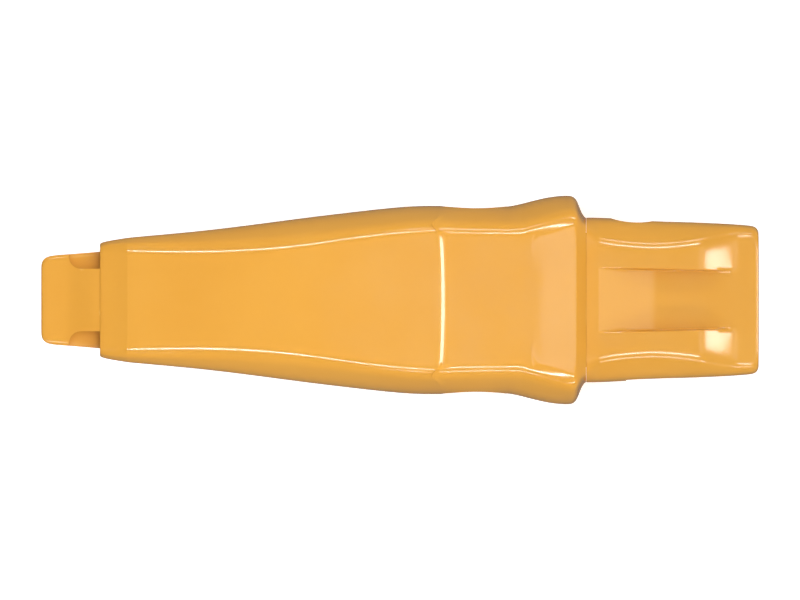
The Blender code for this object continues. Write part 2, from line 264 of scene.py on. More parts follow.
# %% Body stations
# x, half width, half height, shoulder (y, drop below the top), top edge (y, drop), line inside it (y)
BODY_STATIONS = (
    (-281.6, 29.9, 12.3, (28.0, 1.8), (25.6, 0.0), 22.0),
    (-280.9, 31.0, 12.9, (29.0, 1.9), (26.4, 0.0), 22.5),
    (-274.0, 32.4, 15.0, (29.7, 2.2), (26.4, 0.0), 22.5),
    (-268.1, 33.3, 17.5, (30.0, 2.4), (26.2, 0.0), 22.5),
    (-267.0, 33.5, 18.0, (30.0, 2.4), (26.1, 0.0), 22.5),
    (-265.8, 33.7, 18.3, (30.0, 2.4), (26.0, 0.0), 22.5),
    (-253.0, 34.9, 20.9, (30.0, 2.5), (25.5, 0.0), 22.0),
    (-227.0, 37.4, 26.4, (30.2, 2.6), (24.8, 0.0), 21.5),
    (-202.0, 40.6, 31.7, (31.2, 2.7), (25.8, 0.0), 22.5),
    (-174.0, 44.5, 37.4, (33.4, 2.8), (28.6, 0.0), 25.0),
    (-147.0, 47.7, 41.8, (37.3, 2.8), (33.2, 0.0), 29.5),
    (-121.0, 50.6, 45.65, (40.2, 2.8), (36.2, 0.0), 32.4),
    (-108.0, 51.1, 47.75, (41.2, 2.9), (36.9, 0.0), 34.2),
    (-101.2, 51.0, 48.78, (41.5, 2.9), (37.4, 0.0), 35.2),
    (-99.6, 51.0, 49.0, (41.6, 3.0), (37.6, 0.0), 35.4),
    (-98.9, 51.0, 48.87, (41.5, 2.9), (37.5, 0.0), 35.3),
    (-97.9, 51.0, 48.47, (41.4, 2.8), (37.4, 0.0), 35.2),
    (-96.9, 51.1, 48.07, (41.2, 2.7), (37.0, 0.0), 34.7),
    (-96.0, 51.2, 47.84, (41.0, 2.7), (36.5, 0.0), 34.0),
    (-94.8, 51.3, 47.8, (40.8, 2.7), (36.1, 0.0), 33.4),
    (-88.0, 51.6, 47.8, (40.5, 2.8), (35.8, 0.0), 33.0),
    (-78.0, 51.5, 47.9, (40.3, 2.8), (35.7, 0.0), 32.7),
    (-69.0, 51.1, 48.0, (40.2, 2.8), (35.6, 0.0), 32.3),
    (-64.4, 50.7, 48.0, (40.2, 2.8), (35.6, 0.0), 32.1),
    (-62.6, 50.8, 48.0, (40.2, 2.9), (35.6, 0.0), 32.0),
    (-57.0, 52.0, 48.1, (40.3, 3.0), (35.6, 0.1), 31.8),
    (-55.2, 52.5, 48.1, (40.6, 3.1), (36.0, 0.2), 31.6),
    (-50.6, 53.7, 48.32, (42.0, 3.6), (37.7, 0.7), 31.9),
    (-46.0, 54.8, 48.74, (43.4, 4.1), (39.4, 1.05), 33.6),
    (-41.0, 55.8, 49.32, (44.9, 4.6), (41.2, 1.4), 35.3),
    (-35.6, 56.4, 49.95, (46.5, 5.0), (43.1, 1.8), 37.2),
    (-30.5, 56.5, 50.54, (47.7, 5.2), (44.6, 2.0), 39.1),
    (-28.4, 55.9, 50.8, (47.6, 5.2), (44.8, 2.0), 39.9),
    (-26.6, 54.2, 51.0, (46.8, 5.0), (44.4, 2.0), 40.6),
    (-25.2, 50.4, 49.3, (44.6, 4.5), (42.6, 1.7), 38.8),
    (-23.8, 46.8, 47.5, (42.0, 3.9), (40.2, 1.3), 36.8),
    (-22.4, 44.8, 45.8, (40.6, 3.3), (38.6, 0.9), 35.0),
    (-21.5, 44.2, 44.7, (40.2, 3.0), (37.6, 0.6), 34.2),
)
WALL_KNEES = (0.45, 0.85)  # how far up the side wall its two lines of points lie


def body_section(half_width, half_height, shoulder, edge, inner):
    """The seven points of one quarter of a body section, from the parting line to the centre line."""
    shoulder_y, shoulder_z = shoulder[0], half_height - shoulder[1]
    wall = [
        (half_width - (half_width - shoulder_y) * knee**2, shoulder_z * knee) for knee in WALL_KNEES
    ]
    quarter = [
        (half_width, 0.0), *wall, (shoulder_y, shoulder_z),
        (edge[0], half_height - edge[1]), (inner, half_height), (0.0, half_height),
    ]
    return [(y * MM, z * MM) for y, z in quarter]


body = pull_casting(
    "tooth_point_casting", [(row[0] * MM, body_section(*row[1:])) for row in BODY_STATIONS]
)

# %% [markdown]
# The front chamfer ends in a crisp line, and so does the trapezoid face that rises to the collar's crest.
# A crease holds an edge against the smoothing without any extra points, so the cage stays simple. The two
# end rims are creased as well, or else the smoothing would shrink them.

# %% Crisp edges of the body
CHAMFER_X = -267.0 * MM
CREST_X = -26.6 * MM
FLARE_X = -50.6 * MM
FRONT_X = BODY_STATIONS[0][0] * MM
RIM_X = BODY_STATIONS[-1][0] * MM
FLARE_LEAST_Z = 40.0 * MM  # only the upper and lower faces of the collar lie beyond this height


def inner_line_y(x):
    """Distance from the centre line of the line just inside the top edge, at a station."""
    for row in BODY_STATIONS:
        if abs(row[0] * MM - x) < NEAR:
            return row[5] * MM
    return -1.0


def on_inner_line(point):
    """Whether a point lies on the line just inside the top edge."""
    return abs(abs(point.y) - inner_line_y(point.x)) < NEAR and abs(point.z) > FLARE_LEAST_Z


def on_flare_edge(a, b):
    """The two slanting edges of the collar's face, and the crest between them."""
    along = on_inner_line(a) and on_inner_line(b) and a.y * b.y > 0
    along = along and min(a.x, b.x) > FLARE_X - NEAR and max(a.x, b.x) < CREST_X + NEAR
    crest = abs(a.x - CREST_X) < NEAR and abs(b.x - CREST_X) < NEAR
    crest = crest and max(abs(a.y), abs(b.y)) < inner_line_y(CREST_X) + NEAR
    return (along and abs(a.x - b.x) > NEAR) or crest


def on_chamfer_edge(a, b):
    return abs(a.x - CHAMFER_X) < NEAR and abs(b.x - CHAMFER_X) < NEAR and a.z * b.z > 0


def on_front_rim(a, b):
    return abs(a.x - FRONT_X) < NEAR and abs(b.x - FRONT_X) < NEAR


def on_rear_rim(a, b):
    return abs(a.x - RIM_X) < NEAR and abs(b.x - RIM_X) < NEAR


crease_edges(body, on_flare_edge, 0.9)
crease_edges(body, on_chamfer_edge, 0.7)
crease_edges(body, on_front_rim, 0.5)
crease_edges(body, on_rear_rim, 1.0)

# %% [markdown]
# The ridge does not stop short at the shoulders. Its two ends curve forwards into them, so their points
# are drawn forwards, the outer ones most. After that the cage is smoothed.

# %% Ends of the ridge
RIDGE_X = (-99.6 * MM, -98.9 * MM, -97.9 * MM, -96.9 * MM)
RIDGE_END_PULLS = ((35.0, 0.7, -0.5), (37.3, 0.7, -2.6), (41.4, 0.5, -6.5))  # y, how near, move along X
RIDGE_LEAST_Z = 45.0 * MM
make_active(body)
bpy.ops.object.mode_set(mode="EDIT")
for line_y, reach, move in RIDGE_END_PULLS:
    pick_points(
        lambda p: any(abs(p.x - x) < NEAR for x in RIDGE_X)
        and abs(abs(p.y) - line_y * MM) < reach * MM
        and abs(p.z) > RIDGE_LEAST_Z
    )
    bpy.ops.transform.translate(value=(move * MM, 0.0, 0.0))
bpy.ops.object.mode_set(mode="OBJECT")

smooth_and_apply(body, 3)
print("body:", len(body.data.polygons), "faces")

# %% [markdown]
# ## The chisel bit
#
# The bit is a thin blade with rounded corners, which thickens up a steep ramp into the body. Beside the
# ramp the foundry leaves a scoop at each corner, with a rounded front end. We pull the blade from the same
# ring of points as the body.

# %% Bit stations
# x, half width, half height
BIT_STATIONS = (
    (-313.0, 17.6, 2.5),
    (-312.9, 19.4, 3.4),
    (-311.9, 21.9, 4.0),
    (-309.2, 23.6, 4.5),
    (-303.0, 24.2, 5.3),
    (-299.0, 24.4, 5.9),
    (-296.0, 24.7, 6.8),
    (-293.0, 24.9, 8.0),
    (-286.0, 25.5, 10.9),
    (-280.0, 26.0, 12.3),
    (-274.0, 26.4, 12.6),
)
BIT_EDGE = 1.3  # width of the soft edge along the blade
BIT_KNEES = (0.5, 0.85)  # how far up the side its two lines of points lie
BIT_SHOULDER = (0.25, 0.9)  # how far in and down the shoulder lies, in edge widths
BIT_BROW = (1.0, 0.2)  # the same for the brow of the flat face
BIT_FLAT = 3  # where the flat begins, in edge widths


def bit_section(half_width, half_height):
    """The seven points of one quarter of a bit section, from the side to the centre line."""
    shoulder_z = half_height - BIT_SHOULDER[1] * BIT_EDGE
    quarter = [
        (half_width, 0.0), *((half_width, shoulder_z * knee) for knee in BIT_KNEES),
        (half_width - BIT_SHOULDER[0] * BIT_EDGE, shoulder_z),
        (half_width - BIT_BROW[0] * BIT_EDGE, half_height - BIT_BROW[1] * BIT_EDGE),
        (half_width - BIT_FLAT * BIT_EDGE, half_height), (0.0, half_height),
    ]
    return [(y * MM, z * MM) for y, z in quarter]


bit = pull_casting("bit", [(row[0] * MM, bit_section(*row[1:])) for row in BIT_STATIONS])
smooth_and_apply(bit, 2)
print("bit:", len(bit.data.polygons), "faces")

# %% [markdown]
# There are four scoops, above and below on each side. A scoop's tool is a block whose floor leans out to
# the side and whose front corner is bevelled round. Where a scoop meets the face, the casting has a small
# chamfer.

# %% Scoops
SCOOP_FRONT_X, SCOOP_BACK_X = -298.2 * MM, -276.0 * MM
SCOOP_INNER_Y, SCOOP_OUTER_Y = 16.7 * MM, 24.0 * MM
SCOOP_HIGH_Z, SCOOP_LOW_Z = 3.2 * MM, 2.0 * MM  # its floor falls away to the side
SCOOP_CORNER, SCOOP_SEGMENTS = 6.5 * MM, 10
SCOOP_EDGE, SCOOP_EDGE_ANGLE = 0.25 * MM, 35
CLEAR = 10.0 * MM  # how far a cutting tool runs past the surface it opens

for side in (1, -1):
    for face in (1, -1):
        y_sides = sorted((side * SCOOP_INNER_Y, side * SCOOP_OUTER_Y))
        z_sides = sorted((face * SCOOP_LOW_Z, face * (SCOOP_HIGH_Z + CLEAR)))
        scoop = add_block(
            "scoop_tool",
            (SCOOP_FRONT_X, y_sides[0], z_sides[0]),
            (SCOOP_BACK_X, y_sides[1], z_sides[1]),
        )
        bpy.ops.object.mode_set(mode="EDIT")
        pick_points(lambda p: abs(p.y) > SCOOP_OUTER_Y - NEAR)
        bpy.ops.mesh.extrude_region_move(TRANSFORM_OT_translate={"value": (0.0, side * CLEAR, 0.0)})
        pick_points(lambda p: abs(p.y) < SCOOP_INNER_Y + NEAR and abs(p.z) < SCOOP_LOW_Z + NEAR)
        bpy.ops.transform.translate(value=(0.0, 0.0, face * (SCOOP_HIGH_Z - SCOOP_LOW_Z)))
        pick_points(lambda p: abs(p.y) < SCOOP_INNER_Y + NEAR and p.x < SCOOP_FRONT_X + NEAR)
        bpy.ops.mesh.bevel(offset=SCOOP_CORNER, segments=SCOOP_SEGMENTS)
        bpy.ops.object.mode_set(mode="OBJECT")
        clean_up(scoop)
        join_solids(bit, scoop, "DIFFERENCE")
round_edges(bit, SCOOP_EDGE, segments=1, angle=SCOOP_EDGE_ANGLE)
join_solids(body, bit, "UNION")
print("with the bit:", len(body.data.polygons), "faces")

# %% [markdown]
# ## The socket, the post channels and the lock seats
#
# The point is hollow. Its socket is the shape of the adapter's nose with a hair of clearance. We describe
# the nose once and pull it twice: now a little bigger, as the tool that hollows the socket, and later at
# its own size.

# %% Socket
GAP = 0.3  # clearance between pieces that touch
SOCKET_END_CLEAR = 1.5  # room in front of the nose for the end play
# x, half width, half height
NOSE_STATIONS = (
    (-168.0, 19.6, 12.4),
    (-166.6, 21.2, 13.8),
    (-163.0, 22.0, 14.4),
    (-150.0, 23.3, 14.6),
    (-140.0, 24.3, 16.3),
    (-80.0, 30.4, 26.2),
    (-21.0, 36.4, 35.9),
    (-12.0, 36.8, 36.4),
)
NOSE_EDGE = 4.0  # size of the nose's rounded edges
NOSE_KNEE = 0.55  # how far up the side its lower line of points lies
NOSE_CURVE = ((0.0, 1.6), (0.3, 0.5), (1.1, 0.0), (2.0, 0.0))  # points in and down, in edge sizes


def nose_section(half_width, half_height, grow=0.0):
    """The seven points of one quarter of a nose section, all round bigger by grow."""
    wide, tall = half_width + grow, half_height + grow
    quarter = [(wide, 0.0), (wide, (tall - NOSE_EDGE) * NOSE_KNEE)]
    quarter += [(wide - across * NOSE_EDGE, tall - down * NOSE_EDGE) for across, down in NOSE_CURVE]
    quarter.append((0.0, tall))
    return [(y * MM, z * MM) for y, z in quarter]


socket_stations = [(row[0] * MM, nose_section(*row[1:], GAP)) for row in NOSE_STATIONS]
socket_stations[0] = ((NOSE_STATIONS[0][0] - SOCKET_END_CLEAR) * MM, socket_stations[0][1])
socket_tool = pull_casting("socket_tool", socket_stations)
smooth_and_apply(socket_tool, 2)
join_solids(body, socket_tool, "DIFFERENCE")
print("with the socket:", len(body.data.polygons), "faces")

# %% [markdown]
# From the rear a channel runs up the inside of each wall, so that the nose's posts can pass to the locks.
# Each lock sits in a stepped round bore: a bore for the lock itself, a wider seat for its bush and plug,
# and a groove for the snap ring. Every step is a round block that is cut out of the wall.

# %% Channels and seats
LOCK_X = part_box("lock_left")[0].x + (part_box("lock_left")[1].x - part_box("lock_left")[0].x) / 2
CHANNEL_HALF_HEIGHT = 7.2 * MM
CHANNEL_Y = 37.7 * MM
CHANNEL_END_X = -10.0 * MM
channel = add_block(
    "channel_tool",
    (LOCK_X, -CHANNEL_Y, -CHANNEL_HALF_HEIGHT),
    (CHANNEL_END_X, CHANNEL_Y, CHANNEL_HALF_HEIGHT),
)
join_solids(body, channel, "DIFFERENCE")

# bore for the lock, seat for the bush and plug, groove for the ring: radius, nearest and farthest y
SEAT_STEPS = ((14.3, 20.0, 45.0), (17.3, 37.2, 60.0), (18.8, 41.9, 43.8))
ROUND_SEGMENTS = 96
SIDEWAYS = (math.pi / 2, 0.0, 0.0)  # turns a primitive's own Z on to the Y axis


def add_disc(name, radius, near, far, side):
    """A round block whose axis is the lock's, between two distances from the centre plane."""
    deselect_everything()
    bpy.ops.mesh.primitive_cylinder_add(
        vertices=ROUND_SEGMENTS, radius=radius, depth=far - near, rotation=SIDEWAYS,
        location=(LOCK_X, side * (near + far) / 2, 0.0),
    )
    return name_new_piece(name)


for side in (1, -1):
    for radius, near, far in SEAT_STEPS:
        seat = add_disc("seat_tool", radius * MM, near * MM, far * MM, side)
        join_solids(body, seat, "DIFFERENCE")
print("hollowed point:", len(body.data.polygons), "faces")

# %% [markdown]
# ## The adapter
#
# The adapter's leg is made the same way, with one more point in its section, because a valley runs down
# its middle between two ribs. The valley starts as a ramp behind the collar and then runs level to the
# end, where the ribs run out. The valley's walls are creased, or else the smoothing would melt them away.

# %% Leg stations
# x, half width, shoulder (y, drop), outer edge of the rib (y), half height of the ribs, of the valley
LEG_STATIONS = (
    (-21.4, 44.1, (39.6, 2.9), 35.4, 44.3, 44.3),
    (-19.6, 44.1, (38.8, 2.9), 34.4, 44.15, 44.15),
    (-17.0, 44.1, (37.2, 3.0), 32.2, 44.05, 44.05),
    (-14.9, 44.0, (35.8, 3.1), 31.0, 44.0, 44.0),
    (-14.2, 44.0, (35.4, 3.2), 30.8, 44.0, 43.85),
    (-8.0, 43.8, (34.0, 3.5), 29.9, 44.0, 42.6),
    (4.0, 43.0, (33.0, 3.8), 28.9, 44.0, 40.2),
    (12.0, 42.7, (32.7, 4.0), 28.5, 44.0, 38.65),
    (16.0, 42.6, (32.7, 4.0), 28.5, 44.0, 38.15),
    (20.0, 42.4, (32.8, 4.0), 28.6, 44.0, 37.95),
    (24.0, 42.3, (33.1, 4.0), 28.9, 44.0, 37.9),
    (30.0, 42.1, (33.7, 4.0), 29.3, 44.0, 37.9),
    (38.0, 41.8, (34.8, 3.9), 30.2, 43.95, 37.9),
    (41.5, 41.6, (35.2, 3.7), 30.7, 43.4, 37.9),
    (49.5, 41.2, (36.2, 3.0), 32.0, 40.7, 37.9),
    (57.5, 40.7, (36.8, 2.4), 33.0, 38.3, 37.9),
    (61.0, 40.4, (36.9, 2.2), 33.3, 37.95, 37.9),
    (66.0, 40.0, (36.9, 2.2), 33.5, 37.9, 37.85),
    (68.6, 39.5, (36.5, 2.2), 33.2, 37.85, 37.8),
    (70.1, 38.2, (35.2, 2.3), 32.2, 37.7, 37.65),
    (70.7, 36.6, (33.9, 2.4), 31.0, 37.3, 37.25),
    (70.9, 35.0, (32.4, 2.4), 29.8, 36.6, 36.55),
)
LEG_WALL = (20.0, 32.0)  # heights of the two lines of points up the side wall
RIB_INNER_Y = (17.6, 15.6)  # inner edge of the ribs, at the root and at the end
VALLEY_DRAFT = 0.9  # how far the valley's wall leans
LEG_TUCK = 0.2  # how far the upper line of points has moved in towards the shoulder


def leg_section(x, half_width, shoulder, rib_outer, rib_height, valley_height):
    """The eight points of one quarter of a leg section."""
    along = (x - LEG_STATIONS[0][0]) / (LEG_STATIONS[-1][0] - LEG_STATIONS[0][0])
    inner = RIB_INNER_Y[0] + (RIB_INNER_Y[1] - RIB_INNER_Y[0]) * along
    lower, upper = LEG_WALL
    quarter = [
        (half_width, 0.0), (half_width, lower),
        (half_width - LEG_TUCK * (half_width - shoulder[0]), upper),
        (shoulder[0], rib_height - shoulder[1]), (rib_outer, rib_height), (inner, rib_height),
        (inner - VALLEY_DRAFT, valley_height), (0.0, valley_height),
    ]
    return [(y * MM, z * MM) for y, z in quarter]


adapter = pull_casting(
    "adapter_casting", [(row[0] * MM, leg_section(*row)) for row in LEG_STATIONS]
)

WALL_FRONT_X, WALL_END_X = -15.0 * MM, 60.0 * MM
WALL_MARGIN = 0.1  # how far outside its own strip a wall's point may lie
LINE_DRIFT = 0.5 * MM  # how far one line may drift sideways between two stations


def on_valley_wall(a, b):
    """The upper and the lower edge of the valley's side walls."""
    same_side = a.y * b.y > 0 and a.z * b.z > 0 and abs(a.x - b.x) > NEAR
    inner = (RIB_INNER_Y[1] - VALLEY_DRAFT - WALL_MARGIN) * MM
    outer = (RIB_INNER_Y[0] + WALL_MARGIN) * MM
    in_strip = all(inner < abs(p.y) < outer and WALL_FRONT_X < p.x < WALL_END_X for p in (a, b))
    return same_side and abs(abs(a.y) - abs(b.y)) < LINE_DRIFT and in_strip


def on_leg_head(a, b):
    return all(abs(p.x - LEG_STATIONS[0][0] * MM) < NEAR for p in (a, b))


crease_edges(adapter, on_valley_wall, 0.55)
crease_edges(adapter, on_leg_head, 1.0)
smooth_and_apply(adapter, 3)
print("leg:", len(adapter.data.polygons), "faces")

# %% [markdown]
# Two cuts finish the leg. A shallow scallop dips into the left side wall, a little behind the collar. The
# lip slot, which takes the bucket's plate, parts the leg into an upper and a lower strap, and its two
# inner corners are rounded.

# %% Side scallop and lip slot
SCALLOP_RADIUS = 45.0 * MM
SCALLOP_DEPTH = 1.2 * MM
SCALLOP_X, SCALLOP_WALL_Y = 6.0 * MM, 42.7 * MM
SCALLOP_TOOL_LENGTH = 200.0 * MM
scallop_y = SCALLOP_WALL_Y - SCALLOP_DEPTH + SCALLOP_RADIUS
deselect_everything()
bpy.ops.mesh.primitive_cylinder_add(
    vertices=4 * ROUND_SEGMENTS, radius=SCALLOP_RADIUS, depth=SCALLOP_TOOL_LENGTH,
    location=(SCALLOP_X, scallop_y, 0.0),
)
join_solids(adapter, name_new_piece("scallop_tool"), "DIFFERENCE")

SLOT_HALF_HEIGHT = 20.5 * MM
SLOT_CORNER = 1.0 * MM
SLOT_TOOL_X, SLOT_TOOL_Y = 90.0 * MM, 60.0 * MM  # well past the leg's end and sides
slot = add_block(
    "slot_tool", (0.0, -SLOT_TOOL_Y, -SLOT_HALF_HEIGHT), (SLOT_TOOL_X, SLOT_TOOL_Y, SLOT_HALF_HEIGHT)
)
make_active(slot)
bpy.ops.object.mode_set(mode="EDIT")
bpy.ops.mesh.select_mode(type="EDGE")
bpy.ops.mesh.select_all(action="DESELECT")
slot_cage = bmesh.from_edit_mesh(slot.data)
for edge in slot_cage.edges:
    a, b = edge.verts
    edge.select_set(max(a.co.x, b.co.x) < NEAR and abs(a.co.y - b.co.y) > NEAR)
bmesh.update_edit_mesh(slot.data)
bpy.ops.mesh.bevel(offset=SLOT_CORNER, segments=3)
bpy.ops.object.mode_set(mode="OBJECT")
join_solids(adapter, slot, "DIFFERENCE")
print("leg with its slot:", len(adapter.data.polygons), "faces")

# %% [markdown]
# The nose is pulled at its own size and joined to the front of the leg. A round post stands out of each of
# its sides, and each lock hooks behind one of them.

# %% Nose and posts
nose = pull_casting("nose", [(row[0] * MM, nose_section(*row[1:])) for row in NOSE_STATIONS])
smooth_and_apply(nose, 2)
join_solids(adapter, nose, "UNION")

POST_RADIUS = 6.0 * MM
POST_ROOT_Y, POST_TOP_Y = 24.0 * MM, 37.0 * MM
POST_EDGE = 0.8 * MM
for side in (1, -1):
    post = add_disc("post", POST_RADIUS, POST_ROOT_Y, POST_TOP_Y, side)
    apply_modifier(post, "BEVEL", width=POST_EDGE, segments=3, limit_method="ANGLE")
    join_solids(adapter, post, "UNION")
print("adapter:", len(adapter.data.polygons), "faces")

# %% [markdown]
# A finished piece keeps its soft radii but reads as crisp where two faces meet at more than a set angle.
# It then takes the place of its plain solid: it moves with the same body, and it takes its finish.

# %% Handing a piece over
CRISP_ANGLE = math.radians(32)


def hand_over(piece, body_name, node, material):
    """Shades a finished piece and lets it stand for its plain solid."""
    make_active(piece)
    piece.data.materials.clear()
    piece.data.materials.append(material)
    bpy.ops.object.shade_smooth_by_angle(angle=CRISP_ANGLE)
    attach(piece, body_name)
    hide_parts(node)
    print(piece.name, "stands for", node, "with", len(piece.data.polygons), "faces")


# %% [markdown]
# ## Materials
#
# Every finish is built from the same few ideas. Noise on Object coordinates keeps its scale on every
# piece. A map range turns the noise into a narrow band of roughness or of colour. A bump node turns it
# into fine relief. What is the same all over, such as how metallic a finish is, is set on the shader's own
# sockets. The first cell holds the helpers.

# %% Material helpers


def new_material(name, roughness, metallic=0.0):
    """A new Principled material. Returns it with its nodes and its shader."""
    material = bpy.data.materials.new(name)
    material.use_nodes = True
    nodes = material.node_tree.nodes
    shader = nodes["Principled BSDF"]
    shader.inputs["Roughness"].default_value = roughness
    shader.inputs["Metallic"].default_value = metallic
    return material, nodes, shader


def connect(material, source, target):
    material.node_tree.links.new(source, target)


def noise_on_object(material, scale, detail, stretch=(1.0, 1.0, 1.0)):
    """Noise whose grain has the same size in metres on every piece."""
    nodes = material.node_tree.nodes
    place = nodes.new("ShaderNodeTexCoord")
    mapping = nodes.new("ShaderNodeMapping")
    mapping.inputs["Scale"].default_value = stretch
    noise = nodes.new("ShaderNodeTexNoise")
    noise.inputs["Scale"].default_value = scale
    noise.inputs["Detail"].default_value = detail
    connect(material, place.outputs["Object"], mapping.inputs["Vector"])
    connect(material, mapping.outputs["Vector"], noise.inputs["Vector"])
    return noise.outputs["Fac"]


def narrow(material, value, low, high, least=0.3, most=0.7):
    """Maps the useful part of a noise on to a band from low to high."""
    band = material.node_tree.nodes.new("ShaderNodeMapRange")
    band.inputs["From Min"].default_value = least
    band.inputs["From Max"].default_value = most
    band.inputs["To Min"].default_value = low
    band.inputs["To Max"].default_value = high
    connect(material, value, band.inputs["Value"])
    return band.outputs["Result"]


def two_colours(material, value, first, second, least=0.35, most=0.65):
    """A colour that drifts between two with the value."""
    ramp = material.node_tree.nodes.new("ShaderNodeValToRGB")
    ramp.color_ramp.elements[0].position = least
    ramp.color_ramp.elements[0].color = (*first, 1.0)
    ramp.color_ramp.elements[1].position = most
    ramp.color_ramp.elements[1].color = (*second, 1.0)
    connect(material, value, ramp.inputs["Fac"])
    return ramp.outputs["Color"]


def relief(material, height, depth, below=None):
    """A bump of the given depth in metres. below is the normal of a coarser bump under it."""
    bump = material.node_tree.nodes.new("ShaderNodeBump")
    bump.inputs["Distance"].default_value = depth
    connect(material, height, bump.inputs["Height"])
    if below is not None:
        connect(material, below, bump.inputs["Normal"])
    return bump.outputs["Normal"]


# %% [markdown]
# ### Paint on a casting
#
# The castings are dipped in a thick orange gloss paint. It runs smoothly over the foundry's sand skin, so
# the relief is only a faint orange peel over long, shallow waves. Noise lets the colour drift a little. The
# Pointiness of the surface finds the sharp edges, where the paint is rubbed paler, and ambient occlusion
# finds the inner corners, which are darkened with painted shade. The adapter's colour is darkened a little
# as painted shade, so that the rear of the tooth is darker than its tip, and its paint is less glossy, over
# a coarser skin.

# %% Paint
PAINT_DEEP = (0.845, 0.392, 0.053)
PAINT_PALE = (0.875, 0.418, 0.060)
PAINT_RUBBED = (0.900, 0.470, 0.095)
PAINT_CORNER_SHADE = (0.66, 0.29, 0.036)  # painted shade in the inner corners
CORNER_SHADE_REACH = 16.0 * MM  # how near a wall must be for a corner to take the painted shade
ADAPTER_PAINTED_SHADE = 0.93  # the adapter's colour is darkened a little, painted shade
DRIFT_SCALE, HAZE_SCALE, WAVE_SCALE = 14.0, 55.0, 60.0  # of the noises, per metre
POINTED = (0.56, 0.66)  # from where an edge is sharp enough to be rubbed, to fully rubbed
CORNER_SHADE_BAND = (0.40, 0.90)  # from full corner to open face, for the painted shade
PEEL_DEPTH = 0.012 * MM
PAINT_IOR = 1.48


def blend_colour(material, factor, under, over):
    """Lays one even colour over another socket's colour."""
    blend = material.node_tree.nodes.new("ShaderNodeMix")
    blend.data_type = "RGBA"
    connect(material, factor, blend.inputs["Factor"])
    connect(material, under, blend.inputs["A"])
    blend.inputs["B"].default_value = (*over, 1.0)
    return blend.outputs["Result"]


def make_paint(name, skin_scale, skin_depth, gloss, shade=1.0):
    """Gloss paint. skin is the cast surface under it, gloss the band of its roughness, shade a painted
    darkening.
    """
    paint, nodes, shader = new_material(name, 0.15)
    drift = noise_on_object(paint, DRIFT_SCALE, 3.0)
    deep, pale = (tuple(shade * part for part in colour) for colour in (PAINT_DEEP, PAINT_PALE))
    colour = two_colours(paint, drift, deep, pale)
    edges = nodes.new("ShaderNodeNewGeometry")
    rubbed = narrow(paint, edges.outputs["Pointiness"], 0.0, 1.0, *POINTED)
    colour = blend_colour(paint, rubbed, colour, PAINT_RUBBED)
    # Ambient occlusion darkens the paint's colour in the inner corners: painted shade.
    corners = nodes.new("ShaderNodeAmbientOcclusion")
    corners.samples = 8
    corners.only_local = True
    corners.inputs["Distance"].default_value = CORNER_SHADE_REACH
    painted_corner_shade = narrow(paint, corners.outputs["AO"], 1.0, 0.0, *CORNER_SHADE_BAND)
    colour = blend_colour(paint, painted_corner_shade, colour, PAINT_CORNER_SHADE)
    connect(paint, colour, shader.inputs["Base Color"])
    haze = noise_on_object(paint, HAZE_SCALE, 4.0)
    connect(paint, narrow(paint, haze, *gloss), shader.inputs["Roughness"])
    waves = relief(paint, noise_on_object(paint, WAVE_SCALE, 2.0), skin_depth)
    peel = relief(paint, noise_on_object(paint, skin_scale, 2.0), PEEL_DEPTH, waves)
    connect(paint, peel, shader.inputs["Normal"])
    shader.inputs["IOR"].default_value = PAINT_IOR
    return paint


point_paint = make_paint("orange paint on the point", 900.0, 0.06 * MM, (0.11, 0.16))
# The adapter's paint is darkened as painted shade, so the rear of the tooth reads darker than its tip.
adapter_paint = make_paint(
    "orange paint on the adapter", 760.0, 0.08 * MM, (0.15, 0.21), ADAPTER_PAINTED_SHADE
)
hand_over(body, "point", "tooth_point", point_paint)
hand_over(adapter, "adapter", "adapter", adapter_paint)

# %% [markdown]
# ### Forged steel, spring steel, elastomer and rubber
#
# The lock is forged and blasted, so it is a mid grey with a fine grain and darker patches. The snap ring
# is punched from blackened spring steel, and its grain runs along the rolled strip. The bush is a black
# elastomer with a dull bloom. The dust plug is moulded rubber, and is sprayed over together with the
# tooth, so it carries the tooth's colour with a softer sheen and a pebbled mould skin.

# %% Small finishes


def give_colour(material, shader, value, first, second):
    connect(material, two_colours(material, value, first, second), shader.inputs["Base Color"])


def give_roughness(material, shader, value, low, high):
    connect(material, narrow(material, value, low, high), shader.inputs["Roughness"])


def give_relief(material, shader, height, depth):
    connect(material, relief(material, height, depth), shader.inputs["Normal"])


def make_lock_steel():
    steel, _, shader = new_material("forged lock steel", 0.4, metallic=1.0)
    patches = noise_on_object(steel, 120.0, 5.0)
    give_colour(steel, shader, patches, (0.17, 0.16, 0.15), (0.36, 0.35, 0.33))
    give_roughness(steel, shader, patches, 0.32, 0.52)
    give_relief(steel, shader, noise_on_object(steel, 1400.0, 3.0), 0.03 * MM)
    return steel


def make_spring_steel():
    steel, _, shader = new_material("blackened spring steel", 0.3, metallic=1.0)
    grain = noise_on_object(steel, 300.0, 4.0, (1.0, 12.0, 1.0))
    give_colour(steel, shader, grain, (0.060, 0.062, 0.070), (0.135, 0.130, 0.128))
    give_roughness(steel, shader, grain, 0.24, 0.38)
    give_relief(steel, shader, grain, 0.02 * MM)
    return steel


def make_elastomer():
    elastomer, _, shader = new_material("bush elastomer", 0.7)
    bloom = noise_on_object(elastomer, 160.0, 4.0)
    give_colour(elastomer, shader, bloom, (0.018, 0.018, 0.019), (0.050, 0.049, 0.047))
    give_roughness(elastomer, shader, bloom, 0.60, 0.80)
    give_relief(elastomer, shader, noise_on_object(elastomer, 1800.0, 2.0), 0.02 * MM)
    return elastomer


